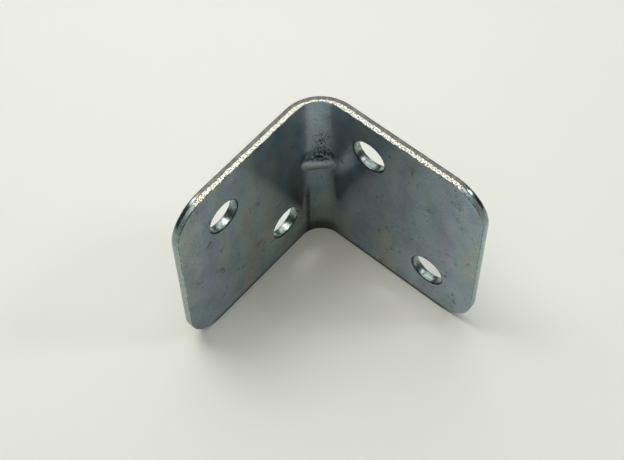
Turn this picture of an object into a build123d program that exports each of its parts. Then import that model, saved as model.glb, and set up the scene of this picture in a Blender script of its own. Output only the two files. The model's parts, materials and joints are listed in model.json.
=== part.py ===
from build123d import *
import os
from math import sqrt

# An angle bracket for joining two boards in a corner: one strip of zinc-plated
# sheet steel, cut to a rounded outline, punched with four screw holes and folded
# once to a right angle. A short dart is pressed into the fold from outside. It
# stiffens the corner and stands out inside it as a low bump.
#
# Frame: Z runs along the fold, and the bracket stands on its long edge at z = 0.
# The two outer faces lie in the planes y = 0 (leg A, which runs along +X) and
# x = 0 (leg B, which runs along -Y). The origin is the corner in which they
# would meet if the fold were sharp, at the level of the standing edge.

# ---- driving dimensions, in millimetres ----
width = 30.0                 # along the fold, so the height that it stands
leg_a_length = 27.8          # outer corner to the end of leg A
leg_b_length = 27.0          # outer corner to the end of leg B: the fold is off centre
sheet = 1.3                  # thickness of the steel
fold_outer_radius = 5.7      # outside of the fold
fold_inner_radius = 3.5      # inside of it: the steel is drawn a little thinner here
corner_radius = 5.5          # the four rounded corners of the outline

hole_diameter = 4.9          # clearance for a 4.5 mm screw
a_inner_from_end = 17.9      # leg A: its end to the hole nearer the fold
a_outer_from_end = 7.4       # leg A: its end to the hole nearer the end
b_inner_from_end = 19.0      # leg B: its end to the hole nearer the fold
b_outer_from_end = 7.9       # leg B: its end to the hole nearer the end
a_high_from_top = 6.2        # leg A: the inner hole, down from the top edge
a_low_from_base = 6.9        # leg A: the outer hole, up from the standing edge
b_high_from_top = 7.5        # leg B: the outer hole, down from the top edge
b_low_from_base = 7.5        # leg B: the inner hole, up from the standing edge

dart_from_base = 16.9        # middle of the dart, up from the standing edge
dart_radius = 2.4            # the bump's round, seen from the side
dart_rise = 0.7              # how far its crest stands in from the inside of the fold
dart_wall = 1.15             # steel left between the bump and the dent behind it

# ---- sizes that follow ----
fold_inner_centre = sheet + fold_inner_radius        # from both outer faces
fold_depth = fold_inner_centre * sqrt(2) - fold_inner_radius   # origin to inside of the fold
dart_axis_depth = fold_depth + dart_rise - dart_radius         # origin to the dart's axis
longer_leg = max(leg_a_length, leg_b_length)

# Each hole of a leg: how far from the outer corner, and how high.
holes_a = [
    (leg_a_length - a_inner_from_end, width - a_high_from_top),
    (leg_a_length - a_outer_from_end, a_low_from_base),
]
holes_b = [
    (leg_b_length - b_inner_from_end, b_low_from_base),
    (leg_b_length - b_outer_from_end, width - b_high_from_top),
]


def solid_corner():
    """Everything behind the two outer faces, rounded at the fold, to the full width."""
    with BuildPart() as corner:
        with BuildSketch(Plane.XY):
            with BuildLine():
                face_a = Line((leg_a_length, 0), (fold_outer_radius, 0))
                fold = RadiusArc(face_a @ 1, (0, -fold_outer_radius), -fold_outer_radius)
                face_b = Line(fold @ 1, (0, -leg_b_length))
                Polyline(face_b @ 1, (leg_a_length, -leg_b_length), face_a @ 0)
            make_face()
        extrude(amount=width)
    return corner.part


def inside_space():
    """The space between the legs, rounded at the fold, which leaves the sheet."""
    reach = 2 * longer_leg
    with BuildPart() as space:
        with BuildSketch(Plane.XY):
            with BuildLine():
                face_a = Line((reach, -sheet), (fold_inner_centre, -sheet))
                fold = RadiusArc(face_a @ 1, (sheet, -fold_inner_centre), -fold_inner_radius)
                face_b = Line(fold @ 1, (sheet, -reach))
                Polyline(face_b @ 1, (reach, -reach), face_a @ 0)
            make_face()
        extrude(amount=width)
    return space.part


def dart_bar(radius):
    """A round bar lying across the corner at 45 degrees, like the punch of the dart."""
    inward = Vector(1, -1, 0).normalized()
    across = Vector(1, 1, 0).normalized()
    middle = inward * dart_axis_depth + Vector(0, 0, dart_from_base)
    lying = Plane(origin=middle, x_dir=inward, z_dir=across)
    return lying * Cylinder(radius, 2 * longer_leg)


def end_corners(bracket):
    """The short edges, through the sheet, at the four corners of the outline."""
    at_end_a = bracket.edges().filter_by(Axis.Y).filter_by_position(
        Axis.X, leg_a_length - sheet / 2, leg_a_length + sheet / 2
    )
    at_end_b = bracket.edges().filter_by(Axis.X).filter_by_position(
        Axis.Y, -leg_b_length - sheet / 2, -leg_b_length + sheet / 2
    )
    return at_end_a + at_end_b


def punched_holes():
    """One cylinder for each screw hole, long enough to pass through its leg only."""
    punch = Cylinder(hole_diameter / 2, 3 * sheet)
    through_a = [Pos(along, -sheet / 2, up) * Rot(90, 0, 0) * punch for along, up in holes_a]
    through_b = [Pos(sheet / 2, -along, up) * Rot(0, 90, 0) * punch for along, up in holes_b]
    return through_a + through_b


# ---- the bracket: fold, dart, outline, holes ----
corner = solid_corner()
bracket = corner - inside_space()
bracket = bracket + (corner & dart_bar(dart_radius))
bracket = bracket - dart_bar(dart_radius - dart_wall)
bracket = fillet(end_corners(bracket), corner_radius)
for hole in punched_holes():
    bracket = bracket - hole

os.makedirs("parts", exist_ok=True)
export_step(bracket, "parts/angle_bracket.step")
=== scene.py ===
# %% [markdown]
# # A zinc-plated angle bracket
# A press tool cuts this bracket from a coil of sheet steel, punches its four holes, pushes a
# short dart into it and folds it to a right angle. It is then plated with zinc and dipped in a
# thin blue passivate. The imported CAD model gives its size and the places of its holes, so the
# first cell loads that frame, and everything below is measured from it.

# %% Load the frame
import json
import math

import bmesh
import bpy
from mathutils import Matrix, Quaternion, Vector


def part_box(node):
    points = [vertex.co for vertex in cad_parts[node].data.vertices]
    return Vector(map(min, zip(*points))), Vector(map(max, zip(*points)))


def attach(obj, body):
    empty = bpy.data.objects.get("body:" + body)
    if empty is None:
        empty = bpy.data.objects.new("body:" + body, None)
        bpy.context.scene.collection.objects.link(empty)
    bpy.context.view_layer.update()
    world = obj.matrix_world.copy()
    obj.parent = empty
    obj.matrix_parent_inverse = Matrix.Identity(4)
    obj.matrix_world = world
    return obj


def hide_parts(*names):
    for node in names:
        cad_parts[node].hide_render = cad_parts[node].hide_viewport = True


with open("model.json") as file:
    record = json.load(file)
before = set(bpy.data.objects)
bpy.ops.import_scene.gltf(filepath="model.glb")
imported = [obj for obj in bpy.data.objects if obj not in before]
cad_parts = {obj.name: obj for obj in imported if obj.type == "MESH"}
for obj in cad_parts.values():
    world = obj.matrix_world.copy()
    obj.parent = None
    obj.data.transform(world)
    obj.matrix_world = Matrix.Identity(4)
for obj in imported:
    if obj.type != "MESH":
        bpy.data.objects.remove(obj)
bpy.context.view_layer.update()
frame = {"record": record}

MM = 0.001
low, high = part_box("angle_bracket")
leg_a, leg_b, width = high.x, -low.y, high.z
holes = [m for m in frame["record"]["mounts"] if m["kind"] == "bore"]
sheet = holes[0]["dims"]["length_mm"] * MM
sizes = {"leg a": leg_a, "leg b": leg_b, "width": width, "sheet": sheet}
print("in mm:", {name: round(size / MM, 2) for name, size in sizes.items()})

# %% [markdown]
# ## Sizes of the tool
# The fold, the corners and the dart have the radii of the punches and dies that made them, and
# those don't depend on how long the legs are. A cut edge of sheet metal is never sharp all
# round. The side that the punch enters is drawn down to a small roll, and the far side is left
# with a fine burr. Both are modelled, because they are what catches the light on a thin part.

# %% Radii and edge sizes
just_touching = 0.01 * MM
fold_outer = 5.7 * MM
fold_inner = 3.5 * MM
corner = 5.5 * MM
dart_radius = 2.4 * MM
dart_rise = 0.7 * MM
dart_wall = 1.15 * MM
dart_height = 16.9 * MM
inside_blend = 0.42 * MM
outside_blend = 0.25 * MM
edge_roll = 0.22 * MM
edge_burr = 0.10 * MM
hole_roll = 0.18 * MM
inner_centre = sheet + fold_inner
fold_depth = inner_centre * math.sqrt(2) - fold_inner
inward = Vector((1, -1, 0)).normalized()
print("inside of the fold is", round(fold_depth / MM, 2), "mm from the outer corner")


# %% [markdown]
# ## Picking edges and faces by their place
# By hand we would click on an edge. A script says where it is instead: everything is deselected,
# and then each edge or face is asked a yes-or-no question about its place or direction.

# %% Selection helpers
def edit(piece, mode):
    bpy.ops.object.select_all(action="DESELECT")
    piece.select_set(True)
    bpy.context.view_layer.objects.active = piece
    bpy.ops.object.mode_set(mode="EDIT")
    bpy.ops.mesh.select_mode(type=mode)
    bpy.ops.mesh.select_all(action="DESELECT")


def pick(piece, kind, wanted):
    mesh = bmesh.from_edit_mesh(piece.data)
    chosen = [item for item in getattr(mesh, kind) if wanted(item)]
    for item in chosen:
        item.select_set(True)
    bmesh.update_edit_mesh(piece.data)
    return len(chosen)


def leave_edit():
    bpy.ops.object.mode_set(mode="OBJECT")


def near(a, b):
    return abs(a - b) < just_touching


def upright(edge):
    a, b = (v.co for v in edge.verts)
    return near(a.x, b.x) and near(a.y, b.y) and not near(a.z, b.z)


print("places closer than", just_touching / MM, "mm count as one")


# %% [markdown]
# ## The folded strip
# We could bend a flat plate with a modifier, but then the holes and corners would have to be
# worked out on the flat. It is simpler to start from the finished angle: a box for leg A, cut
# across where the sheet of leg B begins, whose end face is then pulled out to make leg B.

# %% Leg A, then leg B pulled out of it
bpy.ops.object.select_all(action="DESELECT")
bpy.ops.mesh.primitive_cube_add(size=1, location=(leg_a / 2, -sheet / 2, width / 2))
bracket = bpy.context.object
bracket.name = "zinc_plated_bracket"
bracket.scale = (leg_a, sheet, width)
bpy.ops.object.transform_apply(location=True, rotation=True, scale=True)
edit(bracket, "FACE")
bpy.ops.mesh.select_all(action="SELECT")
bpy.ops.mesh.bisect(plane_co=(sheet, 0, 0), plane_no=(1, 0, 0))
bpy.ops.mesh.select_all(action="DESELECT")
pick(bracket, "faces", lambda f: f.normal.y < -0.9 and f.calc_center_median().x < sheet)
bpy.ops.mesh.extrude_region_move(TRANSFORM_OT_translate={"value": (0, sheet - leg_b, 0)})
bpy.ops.mesh.select_all(action="SELECT")
bpy.ops.mesh.dissolve_limited(angle_limit=math.radians(1))
leave_edit()
print("sharp angle:", len(bracket.data.polygons), "faces")

# %% [markdown]
# ## Rounding the fold and the corners
# A bevel of many segments on one edge is a true arc whose radius is the bevel's width. The
# outside of the fold and its inside are two arcs with their own centres, so the steel comes out
# a little thinner in the fold, as it does on a part that was bent on a press.


# %% Bevel the fold and the four corners
def round_edges(piece, wanted, radius, segments):
    edit(piece, "EDGE")
    found = pick(piece, "edges", wanted)
    bpy.ops.mesh.bevel(offset=radius, segments=segments, profile=0.5, affect="EDGES", clamp_overlap=False)
    leave_edit()
    return found


def at_line(x, y):
    return lambda edge: upright(edge) and near(edge.verts[0].co.x, x) and near(edge.verts[0].co.y, y)


def through_sheet_at_end(edge):
    a, b = (v.co for v in edge.verts)
    across = not near(a.x, b.x) or not near(a.y, b.y)
    at_end_a = near(a.x, leg_a) and near(b.x, leg_a)
    at_end_b = near(a.y, -leg_b) and near(b.y, -leg_b)
    return near(a.z, b.z) and across and (at_end_a or at_end_b) and (a - b).length < 2 * sheet


fold_steps = 36
corner_steps = 20
round_edges(bracket, at_line(0, 0), fold_outer, fold_steps)
round_edges(bracket, at_line(sheet, -sheet), fold_inner, fold_steps)
corners = round_edges(bracket, through_sheet_at_end, corner, corner_steps)
print("fold rounded, and", corners, "corners")

# %% [markdown]
# ## The dart
# The dart is a short dent pushed into the fold from outside. It stands out inside as a low
# round bump, which keeps the angle from opening. The fold is divided into fine rows, and each
# point in it is then laid on the punch: a round bar that lies across the corner at 45 degrees.
# A bevel or an extrusion would leave a crease, so the points move here by a smooth rule.


# %% Divide the fold into rows
def in_fold(point):
    edge_of_fold = fold_outer + just_touching
    return point.x < edge_of_fold and point.y > -edge_of_fold


rows = 120
edit(bracket, "EDGE")
uprights = pick(bracket, "edges", lambda e: upright(e) and in_fold(e.verts[0].co))
bpy.ops.mesh.subdivide(number_cuts=rows - 1)
leave_edit()
print("fold:", uprights, "lines, each in", rows, "rows")


# %% Lay the rows on the dart's punch
outer_skin = 0.1 * MM


def bar_depth(radius, z):
    """How far from the outer corner the bar's surface is at this height, along the inward way."""
    axis_depth = fold_depth + dart_rise - dart_radius
    rest = radius ** 2 - (z - dart_height) ** 2
    return axis_depth + math.sqrt(rest) if rest > 0 else -1.0


def soft_max(a, b, reach):
    """The larger of two depths, with a fillet where they are closer than `reach`."""
    share = max(reach - abs(a - b), 0) / reach
    return max(a, b) + share * share * reach / 4


def on_the_outside(point):
    from_axis = math.hypot(fold_outer - point.x, fold_outer + point.y)
    return from_axis > fold_outer - outer_skin or near(point.x, 0) or near(point.y, 0)


moved = 0
for vertex in bracket.data.vertices:
    point = vertex.co
    if not in_fold(point) or abs(point.z - dart_height) > dart_radius:
        continue
    depth = point.dot(inward)
    outside = on_the_outside(point)
    radius = dart_radius - dart_wall if outside else dart_radius
    reach = outside_blend if outside else inside_blend
    pushed = soft_max(depth, bar_depth(radius, point.z), reach)
    if pushed > depth:
        vertex.co = point + inward * (pushed - depth)
        moved += 1
print("dart:", moved, "points laid on the punch")

# %% [markdown]
# ## The screw holes
# A hole is punched straight through the sheet, so a cylinder is taken away from each leg with a
# Boolean modifier. The record gives each hole's place, axis and radius.

# %% Punch the holes
punch_sides = 72
for hole in holes:
    axis = Vector(hole["axis"])
    bpy.ops.object.select_all(action="DESELECT")
    bpy.ops.mesh.primitive_cylinder_add(
        vertices=punch_sides, radius=hole["dims"]["r_mm"] * MM, depth=3 * sheet,
        location=hole["pos_m"], rotation=axis.to_track_quat("Z", "Y").to_euler(),
    )
    punch = bpy.context.object
    bpy.context.view_layer.objects.active = bracket
    cut = bracket.modifiers.new("punch", "BOOLEAN")
    cut.operation, cut.solver, cut.object = "DIFFERENCE", "EXACT", punch
    bpy.ops.object.modifier_apply(modifier=cut.name)
    bpy.data.objects.remove(punch)
print("after punching:", len(bracket.data.polygons), "faces")


# %% [markdown]
# ## Rolled and burred edges
# Only the cut edges meet at a sharp angle now. The outline was cut from outside the angle, so
# its roll is on the outer face and its burr on the inner one. The holes were punched the other
# way, so their roll is inside, where it shows as a fine bright or dark ring.

# %% Roll one side of every cut edge and leave a burr on the other
round_a_hole = 0.3 * MM
sharp = math.radians(60)


def depth_in_sheet(point):
    u = max(fold_outer - point.x, 0)
    v = max(fold_outer + point.y, 0)
    return fold_outer - math.hypot(u, v)


def at_a_hole(point):
    for hole in holes:
        radius = hole["dims"]["r_mm"] * MM
        away = point - Vector(hole["pos_m"])
        axis = Vector(hole["axis"])
        if (away - axis * away.dot(axis)).length < radius + round_a_hole:
            return True
    return False


def cut_edge(edge):
    return len(edge.link_faces) == 2 and edge.calc_face_angle() > sharp


def middle(edge):
    return (edge.verts[0].co + edge.verts[1].co) / 2


def finish_edges(hole_edges, outer_side, size, segments):
    edit(bracket, "EDGE")
    found = pick(
        bracket, "edges",
        lambda e: cut_edge(e)
        and at_a_hole(middle(e)) == hole_edges
        and (depth_in_sheet(middle(e)) < sheet / 3) == outer_side,
    )
    bpy.ops.mesh.bevel(offset=size, segments=segments, profile=0.5, affect="EDGES", clamp_overlap=False)
    leave_edit()
    return found


print("outline roll", finish_edges(False, True, edge_roll, 4))
print("outline burr", finish_edges(False, False, edge_burr, 2))
print("hole roll", finish_edges(True, False, hole_roll, 4))
print("hole burr", finish_edges(True, True, edge_burr, 2))

# %% [markdown]
# ## Smooth shading that keeps the legs flat
# Every face is shaded smooth, so that the fold and the rolls look round. The Weighted Normal
# modifier then lets the large flat faces decide the normals along their borders.

# %% Shade the piece
flat_faces_decide = 80
bpy.ops.object.select_all(action="DESELECT")
bracket.select_set(True)
bpy.context.view_layer.objects.active = bracket
bpy.ops.object.shade_smooth()
weighted = bracket.modifiers.new("flat legs", "WEIGHTED_NORMAL")
weighted.mode = "FACE_AREA"
weighted.weight = flat_faces_decide
bpy.ops.object.modifier_apply(modifier=weighted.name)
triangles = sum(len(p.vertices) - 2 for p in bracket.data.polygons)
print("bracket:", len(bracket.data.polygons), "faces,", triangles, "triangles")

# %% [markdown]
# ## Colours and nodes
# One function turns a hex colour to the linear values that Blender uses, and one adds a node
# with its settings and links. An input is given by its name, or by its number after an
# underscore. Pattern sizes are in millimetres: a noise of scale 1 has features about one metre
# across, so the scale is one over the size.


# %% Colour and node helpers
def linear(hex_colour):
    parts = [int(hex_colour[i:i + 2], 16) / 255 for i in (1, 3, 5)]
    return [c / 12.92 if c <= 0.04045 else ((c + 0.055) / 1.055) ** 2.4 for c in parts] + [1.0]


def new_material(name):
    material = bpy.data.materials.new(name)
    material.use_nodes = True
    material.node_tree.nodes.clear()
    return material, material.node_tree


def add(tree, kind, settings=None, **inputs):
    node = tree.nodes.new(kind)
    for key, value in (settings or {}).items():
        setattr(node, key, value)
    for key, value in inputs.items():
        socket = node.inputs[int(key[1:])] if key[0] == "_" else node.inputs[key.replace("_", " ")]
        if isinstance(value, bpy.types.NodeSocket):
            tree.links.new(value, socket)
        else:
            socket.default_value = value
    return node


def ramp(tree, factor, stops):
    node = add(tree, "ShaderNodeValToRGB", Fac=factor)
    elements = node.color_ramp.elements
    while len(elements) < len(stops):
        elements.new(0.5)
    for element, (place, colour) in zip(elements, stops):
        element.position = place
        element.color = linear(colour) if isinstance(colour, str) else [colour] * 3 + [1.0]
    return node.outputs["Color"]


def noise(tree, place, size_mm, detail=2.0, roughness=0.5):
    node = add(
        tree, "ShaderNodeTexNoise",
        Vector=place, Scale=1 / (size_mm * MM), Detail=detail, Roughness=roughness,
    )
    return node.outputs["Fac"]


def stretch(tree, place, squash, shift=(0, 0, 0)):
    """Patterns look longer up the fold, by one over `squash`."""
    node = add(tree, "ShaderNodeMapping", Vector=place, Scale=(1, 1, squash), Location=shift)
    return node.outputs["Vector"]


def maths(tree, operation, a, b=0.0):
    return add(tree, "ShaderNodeMath", {"operation": operation}, _0=a, _1=b).outputs[0]


def blend(tree, factor, a, b, how="MIX"):
    node = add(tree, "ShaderNodeMix", {"data_type": "RGBA", "blend_type": how}, _0=factor, _6=a, _7=b)
    return node.outputs[2]


def between(tree, value, start, end):
    """0 at `start` and 1 at `end`, with a soft change from one to the other."""
    node = add(
        tree, "ShaderNodeMapRange", {"interpolation_type": "SMOOTHSTEP"},
        Value=value, From_Min=start, From_Max=end, To_Min=0.0, To_Max=1.0,
    )
    return node.outputs["Result"]


def product(tree, *values):
    result = values[0]
    for value in values[1:]:
        result = maths(tree, "MULTIPLY", result, value)
    return result


def largest(tree, *values):
    result = values[0]
    for value in values[1:]:
        result = maths(tree, "MAXIMUM", result, value)
    return result


def metal(tree, colour, rough, grain, strength, grain_depth_mm):
    """A metal with a fine bump, as the material's surface."""
    bump = add(
        tree, "ShaderNodeBump", Strength=strength, Distance=grain_depth_mm * MM, Height=grain,
    ).outputs["Normal"]
    shader = add(
        tree, "ShaderNodeBsdfPrincipled",
        Base_Color=colour, Metallic=1.0, Roughness=rough, Normal=bump,
    )
    add(tree, "ShaderNodeOutputMaterial", Surface=shader.outputs["BSDF"])


print("grey #808080 is", round(linear("#808080")[0], 3), "as a linear value")

# %% [markdown]
# ## Where a point of the surface is
# The marks and the cut edges are laid out from a point's own place on the bracket, in
# millimetres: how deep it lies in the sheet, and where it is in the fold.


# %% Places, as sockets
def sheet_depth(tree, place):
    """The depth below the outer faces."""
    xyz = add(tree, "ShaderNodeSeparateXYZ", Vector=place)
    u = maths(tree, "MAXIMUM", maths(tree, "SUBTRACT", fold_outer, xyz.outputs["X"]), 0.0)
    v = maths(tree, "MAXIMUM", maths(tree, "ADD", xyz.outputs["Y"], fold_outer), 0.0)
    squares = maths(tree, "ADD", product(tree, u, u), product(tree, v, v))
    reach = maths(tree, "SQRT", squares)
    return maths(tree, "DIVIDE", maths(tree, "SUBTRACT", fold_outer, reach), MM)


def on_an_inner_face(tree, place):
    return between(tree, sheet_depth(tree, place), 0.4, 0.9)


def places_in_the_fold(tree, place):
    """How far up the fold, sideways from its middle, and inward from the outer corner."""
    xyz = add(tree, "ShaderNodeSeparateXYZ", Vector=place)
    x, y = xyz.outputs["X"], xyz.outputs["Y"]
    diagonal = math.sqrt(2) * MM
    height = maths(tree, "DIVIDE", xyz.outputs["Z"], MM)
    side = maths(tree, "DIVIDE", maths(tree, "ADD", x, y), diagonal)
    inward_mm = maths(tree, "DIVIDE", maths(tree, "SUBTRACT", x, y), diagonal)
    return height, side, inward_mm


crest = dart_height / MM
print("the dart's crest is", round(crest, 2), "mm up the fold")

# %% [markdown]
# ## Marks
# The bracket has been handled and pressed. Small dull smudges lie here and there on the legs. In
# the fold there are dark specks of oil above the dart and a dark line beside its foot. A dark band
# just above the dart is painted shade, and the dart's crest is painted a little paler as a painted
# highlight. Low in the corner the inner faces carry painted shade, which grows toward the fold and
# is deepest at the foot of the fold, and they are darker along their bottom edge. All of it is on
# the inner faces.


# %% Marks on the plated faces
def handling_marks(tree, place):
    strength = 0.58
    specks = between(tree, noise(tree, place, 0.6, 3.0, 0.6), 0.60, 0.70)
    patches = between(tree, noise(tree, place, 3.6, 1.0), 0.50, 0.62)
    moved_place = stretch(tree, place, 0.7, (0.03, 0, 0))
    smudges = between(tree, noise(tree, moved_place, 1.9, 4.0, 0.75), 0.585, 0.69)
    marks = largest(tree, product(tree, specks, patches), smudges)
    return product(tree, marks, on_an_inner_face(tree, place), strength)


def oil_and_painted_shade_in_the_fold(tree, place):
    painted_shade_above_dart_strength, line_strength = 0.85, 0.85
    line_side = -1.5
    height, side, inward_mm = places_in_the_fold(tree, place)
    off_middle = maths(tree, "ABSOLUTE", side)
    from_line = maths(tree, "ABSOLUTE", maths(tree, "SUBTRACT", side, line_side))
    inside = product(tree, between(tree, inward_mm, 2.9, 3.1), between(tree, inward_mm, 5.5, 5.0))
    fine = noise(tree, place, 0.28, 4.0, 0.75)
    specks = product(
        tree,
        between(tree, height, crest, crest + 1), between(tree, height, crest + 9, crest + 4),
        between(tree, side, -1.7, 0.3), between(tree, side, 1.9, 1.3),
        between(tree, fine, 0.50, 0.55),
    )
    # A speckled dark band just above the dart is painted shade. The specks and the line are oil.
    painted_shade_above_dart = product(
        tree,
        between(tree, height, crest + 0.5, crest + 1.1),
        between(tree, height, crest + 3.4, crest + 1.9),
        between(tree, off_middle, 2.7, 1.9), between(tree, fine, 0.36, 0.50), painted_shade_above_dart_strength,
    )
    low_specks = product(tree, between(tree, height, 13.0, 11.0), between(tree, fine, 0.64, 0.68))
    line = product(
        tree, between(tree, from_line, 0.5, 0.1), between(tree, height, 12.5, 9.5),
        between(tree, fine, 0.3, 0.5), line_strength,
    )
    return product(tree, inside, largest(tree, specks, low_specks, line, painted_shade_above_dart))


# A painted highlight: the dart's crest is painted a paler, warm zinc colour.
def painted_crest_highlight(tree, place):
    strength = 0.30
    height, side, inward_mm = places_in_the_fold(tree, place)
    from_crest = maths(tree, "ABSOLUTE", maths(tree, "SUBTRACT", height, crest + 0.1))
    return product(
        tree, between(tree, inward_mm, 3.3, 3.7), between(tree, from_crest, 0.55, 0.1),
        between(tree, maths(tree, "ABSOLUTE", side), 2.2, 1.3), strength,
    )


def painted_shade_and_dark_foot(tree, place):
    painted_shade_strength, foot_strength, fold_foot_shade_strength = 0.25, 0.9, 0.85
    xyz = add(tree, "ShaderNodeSeparateXYZ", Vector=place)
    up = xyz.outputs["Z"]
    along = largest(tree, xyz.outputs["X"], maths(tree, "MULTIPLY", xyz.outputs["Y"], -1.0))
    # Painted shade: the inner faces darken toward the fold and toward the bottom.
    film = product(
        tree, between(tree, along, 23 * MM, 4 * MM), between(tree, up, 27 * MM, 8 * MM),
        painted_shade_strength,
    )
    # The inner faces are darker along their bottom edge.
    foot = product(tree, between(tree, up, 0.9 * MM, 0.4 * MM), foot_strength)
    # Painted shade, deepest low at the foot of the fold.
    painted_shade_at_fold_foot = product(
        tree, between(tree, along, 9 * MM, 3 * MM), between(tree, up, 4.5 * MM, 1.0 * MM),
        fold_foot_shade_strength,
    )
    return product(tree, largest(tree, film, foot, painted_shade_at_fold_foot), on_an_inner_face(tree, place))


# %% [markdown]
# ## Zinc plate with a blue passivate
# Bright zinc is a pale grey metal. The passivate is a film thinner than a wavelength of light,
# so the reflection takes a faint tint that drifts from blue through green and violet to straw
# where the film is thicker. The steel below was rolled, which leaves the tints in soft streaks
# along the sheet. The marks are laid over it. The eye reads it as a dark satin mirror.


# %% The plated faces
dull_smudge = linear("#33393d")
# The colour of the painted shade low in the corner and of the dark bottom edge.
shade_and_foot_colour = linear("#1b2125")
# The colour of the painted highlight on the dart's crest.
crest_highlight_colour = linear("#b9ab96")
# One dark colour for the oil specks and for the painted shade above the dart.
dark_oil_and_shade = linear("#15191c")


def plated_face():
    material, tree = new_material("blue-passivated zinc plate on rolled steel")
    place = add(tree, "ShaderNodeTexCoord").outputs["Object"]
    streaks = noise(tree, stretch(tree, place, 0.28), 4.2, 2.0, 0.5)
    tints = ramp(tree, streaks, [
        (0.32, "#9592aa"), (0.42, "#90a2b2"), (0.50, "#90aab6"), (0.58, "#98b0ab"), (0.68, "#ada79a"),
    ])
    clouds = noise(tree, stretch(tree, place, 0.6, (0.02, 0.01, 0)), 2.6, 3.0, 0.55)
    film = ramp(tree, clouds, [(0.3, "#7f8d99"), (0.55, "#a3b2bd"), (0.75, "#b8c2c2")])
    colour = blend(tree, 0.5, tints, film)
    grain = noise(tree, stretch(tree, place, 0.5), 0.16, 3.0, 0.6)
    grain_shade = ramp(tree, grain, [(0.3, "#b4b4b4"), (0.7, "#ffffff")])
    colour = blend(tree, 0.5, colour, grain_shade, "MULTIPLY")
    colour = blend(tree, handling_marks(tree, place), colour, dull_smudge)
    colour = blend(tree, painted_shade_and_dark_foot(tree, place), colour, shade_and_foot_colour)
    colour = blend(tree, painted_crest_highlight(tree, place), colour, crest_highlight_colour)
    colour = blend(tree, oil_and_painted_shade_in_the_fold(tree, place), colour, dark_oil_and_shade)
    rough = ramp(tree, clouds, [(0.3, 0.20), (0.7, 0.27)])
    metal(tree, colour, rough, grain, strength=0.10, grain_depth_mm=0.02)
    return material


plated = plated_face()
print(plated.name, "has", len(plated.node_tree.nodes), "nodes")

# %% [markdown]
# ## The cut edges
# A sheared edge has two bands. The punch first slices into the sheet and burnishes it smooth,
# and then the rest tears, which leaves a bright, crystalline band on the far side. The shader
# changes from one band to the other along a wavering line. The ends of the legs are cut like the
# long edges but coloured apart for the way light falls on them: their torn band is painted darker
# and their smooth band lighter, as painted shade and painted light, and they are a little less
# rough. A broken dark line of painted shade runs along the burr, and the lowest 0.3 mm of the cut
# edges is darker. The walls of the small holes have one finish, with painted shade on the roll
# where the punch went in.


# %% The sheared edges and the hole walls
sheet_mm = sheet / MM
# The colour of the painted shade along the burr.
burr_shade = linear("#2a2f33")
foot_shade = linear("#22282c")
roll_painted_shade = linear("#2c3236")


def sheared_edge():
    material, tree = new_material("sheared edge, zinc plated")
    waver_mm, tear_starts, tear_full = 0.34, 0.56, 0.66
    end_from, end_full = 4.6 * MM, 3.0 * MM
    smooth_rough, torn_rough, end_polish = 0.28, 0.48, 0.1
    foot_strength = 0.85
    place = add(tree, "ShaderNodeTexCoord").outputs["Object"]
    xyz = add(tree, "ShaderNodeSeparateXYZ", Vector=place)
    depth = sheet_depth(tree, place)
    centred = maths(tree, "SUBTRACT", noise(tree, place, 0.7, 3.0), 0.5)
    waver = maths(tree, "MULTIPLY", centred, waver_mm)
    torn = between(tree, maths(tree, "ADD", depth, waver), tear_starts, tear_full)
    past_a = between(tree, xyz.outputs["X"], leg_a - end_from, leg_a - end_full)
    past_b = between(tree, xyz.outputs["Y"], end_from - leg_b, end_full - leg_b)
    at_end = largest(tree, past_a, past_b)
    lines = noise(tree, place, 0.5, 2.0)
    grit = noise(tree, place, 0.20, 4.0, 0.75)
    # The ends get other colours than the long edges for how light falls there: painted shade on the torn
    # band, painted light on the smooth band.
    long_smooth = ramp(tree, lines, [(0.35, "#565654"), (0.65, "#75746f")])
    long_torn_painted_light = ramp(tree, grit, [(0.43, "#3c3e28"), (0.48, "#cbcba6"), (0.535, "#ffffff")])
    end_smooth_painted_light = ramp(tree, lines, [(0.35, "#7d8c8e"), (0.65, "#94a5a4")])
    end_torn_painted_shade = ramp(tree, grit, [(0.40, "#74858a"), (0.52, "#9badaa"), (0.64, "#b4c2bc")])
    smooth_band = blend(tree, at_end, long_smooth, end_smooth_painted_light)
    torn_band = blend(tree, at_end, long_torn_painted_light, end_torn_painted_shade)
    colour = blend(tree, torn, smooth_band, torn_band)
    broken = between(tree, noise(tree, place, 0.5, 3.0), 0.40, 0.55)
    # Painted shade: a broken dark line along the burr.
    painted_shade_at_burr = product(tree, between(tree, depth, sheet_mm - 0.14, sheet_mm - 0.08), broken)
    colour = blend(tree, painted_shade_at_burr, colour, burr_shade)
    foot = product(tree, between(tree, xyz.outputs["Z"], 0.3 * MM, 0.1 * MM), foot_strength)
    colour = blend(tree, foot, colour, foot_shade)
    rough = maths(
        tree, "SUBTRACT", ramp(tree, torn, [(0.0, smooth_rough), (1.0, torn_rough)]),
        product(tree, at_end, end_polish),
    )
    metal(tree, colour, rough, product(tree, grit, torn), strength=0.7, grain_depth_mm=0.12)
    return material


def punched_wall():
    material, tree = new_material("punched hole wall, zinc plated")
    place = add(tree, "ShaderNodeTexCoord").outputs["Object"]
    scored = noise(tree, place, 0.45, 3.0, 0.6)
    colour = ramp(tree, scored, [(0.35, "#6b7a7c"), (0.5, "#8d9c98"), (0.65, "#a9b6b0")])
    # Painted shade: the roll at the inner face is darkened.
    rolled = between(tree, sheet_depth(tree, place), sheet_mm - 0.16, sheet_mm - 0.04)
    colour = blend(tree, rolled, colour, roll_painted_shade)
    metal(tree, colour, 0.30, scored, strength=0.35, grain_depth_mm=0.05)
    return material


sheared, punched = sheared_edge(), punched_wall()
print(sheared.name, "and", punched.name, "are ready")

# %% [markdown]
# ## Which face gets which finish
# A face of the sheet looks along the sheet's own thickness. Every other face was cut, and a cut
# face beside a hole is the hole's wall. The fold's faces are all plated, also where the dart
# turns them.

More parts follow.
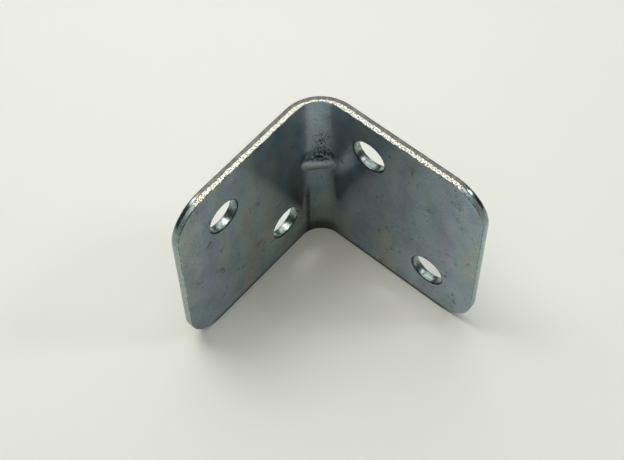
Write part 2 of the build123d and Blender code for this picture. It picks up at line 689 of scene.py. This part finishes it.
# %% Give each face its finish
leaning_by_a_hole, leaning_elsewhere = 0.985, 0.72
rim = 0.3 * MM


def sheet_normal(point):
    u = max(fold_outer - point.x, 0)
    v = max(fold_outer + point.y, 0)
    return Vector((-u, v, 0)).normalized()


for finish in (plated, sheared, punched):
    bracket.data.materials.append(finish)
counts = [0, 0, 0]
for face in bracket.data.polygons:
    along = abs(face.normal.dot(sheet_normal(face.center)))
    inside_fold = in_fold(face.center) and rim < face.center.z < width - rim
    by_a_hole = at_a_hole(face.center)
    limit = leaning_by_a_hole if by_a_hole else leaning_elsewhere
    is_cut = along < limit and not inside_fold
    face.material_index = 0 if not is_cut else 2 if by_a_hole else 1
    counts[face.material_index] += 1
print("faces plated, sheared, punched:", counts)
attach(bracket, "root")
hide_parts("angle_bracket")

# %% [markdown]
# ## The floor
# A plain, pale, matt floor under soft light. Metal shows what is round it, so the floor is a
# part of the bracket's look: its inner faces reflect the floor between the legs.

# %% Floor
floor_size = 3.0
bpy.ops.object.select_all(action="DESELECT")
bpy.ops.mesh.primitive_plane_add(size=floor_size, location=(0, 0, 0))
floor = bpy.context.object
floor.name = "floor"
paint, tree = new_material("plain pale floor")
board = add(tree, "ShaderNodeBsdfPrincipled", Base_Color=linear("#e6e8e3"), Roughness=0.9)
add(tree, "ShaderNodeOutputMaterial", Surface=board.outputs["BSDF"])
floor.data.materials.append(paint)
print("floor:", floor_size, "m across")

# %% [markdown]
# ## Light
# Soft lamps hang over the bracket. A wide panel, a little behind it, and an overhead fill give
# the even light. A smaller lamp on the left gives the inside of the angle its soft shadow, and
# a small bright one on the right gives the cut edges their glints. The rest of the room is dim,
# because metal shows whatever is in front of it, and the open side of the angle faces a darker
# room.


# %% Lamps and world
centre = (low + high) / 2
room_brightness = 0.09


def lamp(name, towards, distance, half_angle, radiance, colour):
    """A round soft lamp: how wide it looks from the bracket, and how bright its face is."""
    way = Vector(towards).normalized()
    radius = distance * math.tan(math.radians(half_angle))
    bpy.ops.object.select_all(action="DESELECT")
    bpy.ops.object.light_add(type="AREA", location=centre + way * distance)
    light = bpy.context.object
    light.name = name
    light.data.shape = "DISK"
    light.data.size = 2 * radius
    light.data.energy = radiance * math.pi * math.pi * radius ** 2
    light.data.color = linear(colour)[:3]
    light.rotation_mode = "QUATERNION"
    light.rotation_quaternion = way.to_track_quat("Z", "Y")
    print(name, "is", round(2 * radius, 2), "m wide, at", round(light.data.energy, 2), "W")


lamp("wide soft panel", (-0.30, 0.36, 0.88), 0.25, 33, 1.5, "#fdfffb")
lamp("small soft lamp", (-0.42, -0.08, 0.90), 0.28, 13, 6.3, "#fffcf2")
lamp("overhead fill", (0.15, -0.25, 0.95), 0.90, 25, 1.25, "#fff7ea")
lamp("lamp on the right", (0.50, 0.46, 0.73), 0.45, 6, 11.0, "#ffffff")
world = bpy.data.worlds.new("dim room")
bpy.context.scene.world = world
world.use_nodes = True
backdrop = world.node_tree.nodes["Background"]
backdrop.inputs["Color"].default_value = linear("#e4ecf4")
backdrop.inputs["Strength"].default_value = room_brightness

# %% [markdown]
# ## Camera
# The camera looks down on the standing bracket from in front of the open side of the angle.

# %% Camera
azimuth, elevation, roll = math.radians(41.73), math.radians(58.45), math.radians(-1.41)
distance = 179.4 * MM
aim = centre + Vector((-4.85, 2.07, 2.93)) * MM
lens_mm, sensor_mm = 81.36, 36.0
nearest, farthest = 0.01, 10.0
back = Vector((
    math.sin(azimuth) * math.cos(elevation),
    -math.cos(azimuth) * math.cos(elevation),
    math.sin(elevation),
))
bpy.ops.object.camera_add(location=aim + back * distance)
camera = bpy.context.object
camera.data.lens, camera.data.sensor_width = lens_mm, sensor_mm
camera.data.clip_start, camera.data.clip_end = nearest, farthest
camera.rotation_mode = "QUATERNION"
camera.rotation_quaternion = (-back).to_track_quat("-Z", "Y") @ Quaternion((0, 0, 1), roll)
scene = bpy.context.scene
scene.camera = camera
scene.view_settings.view_transform = "Standard"
print("camera is", round(distance, 3), "m away")
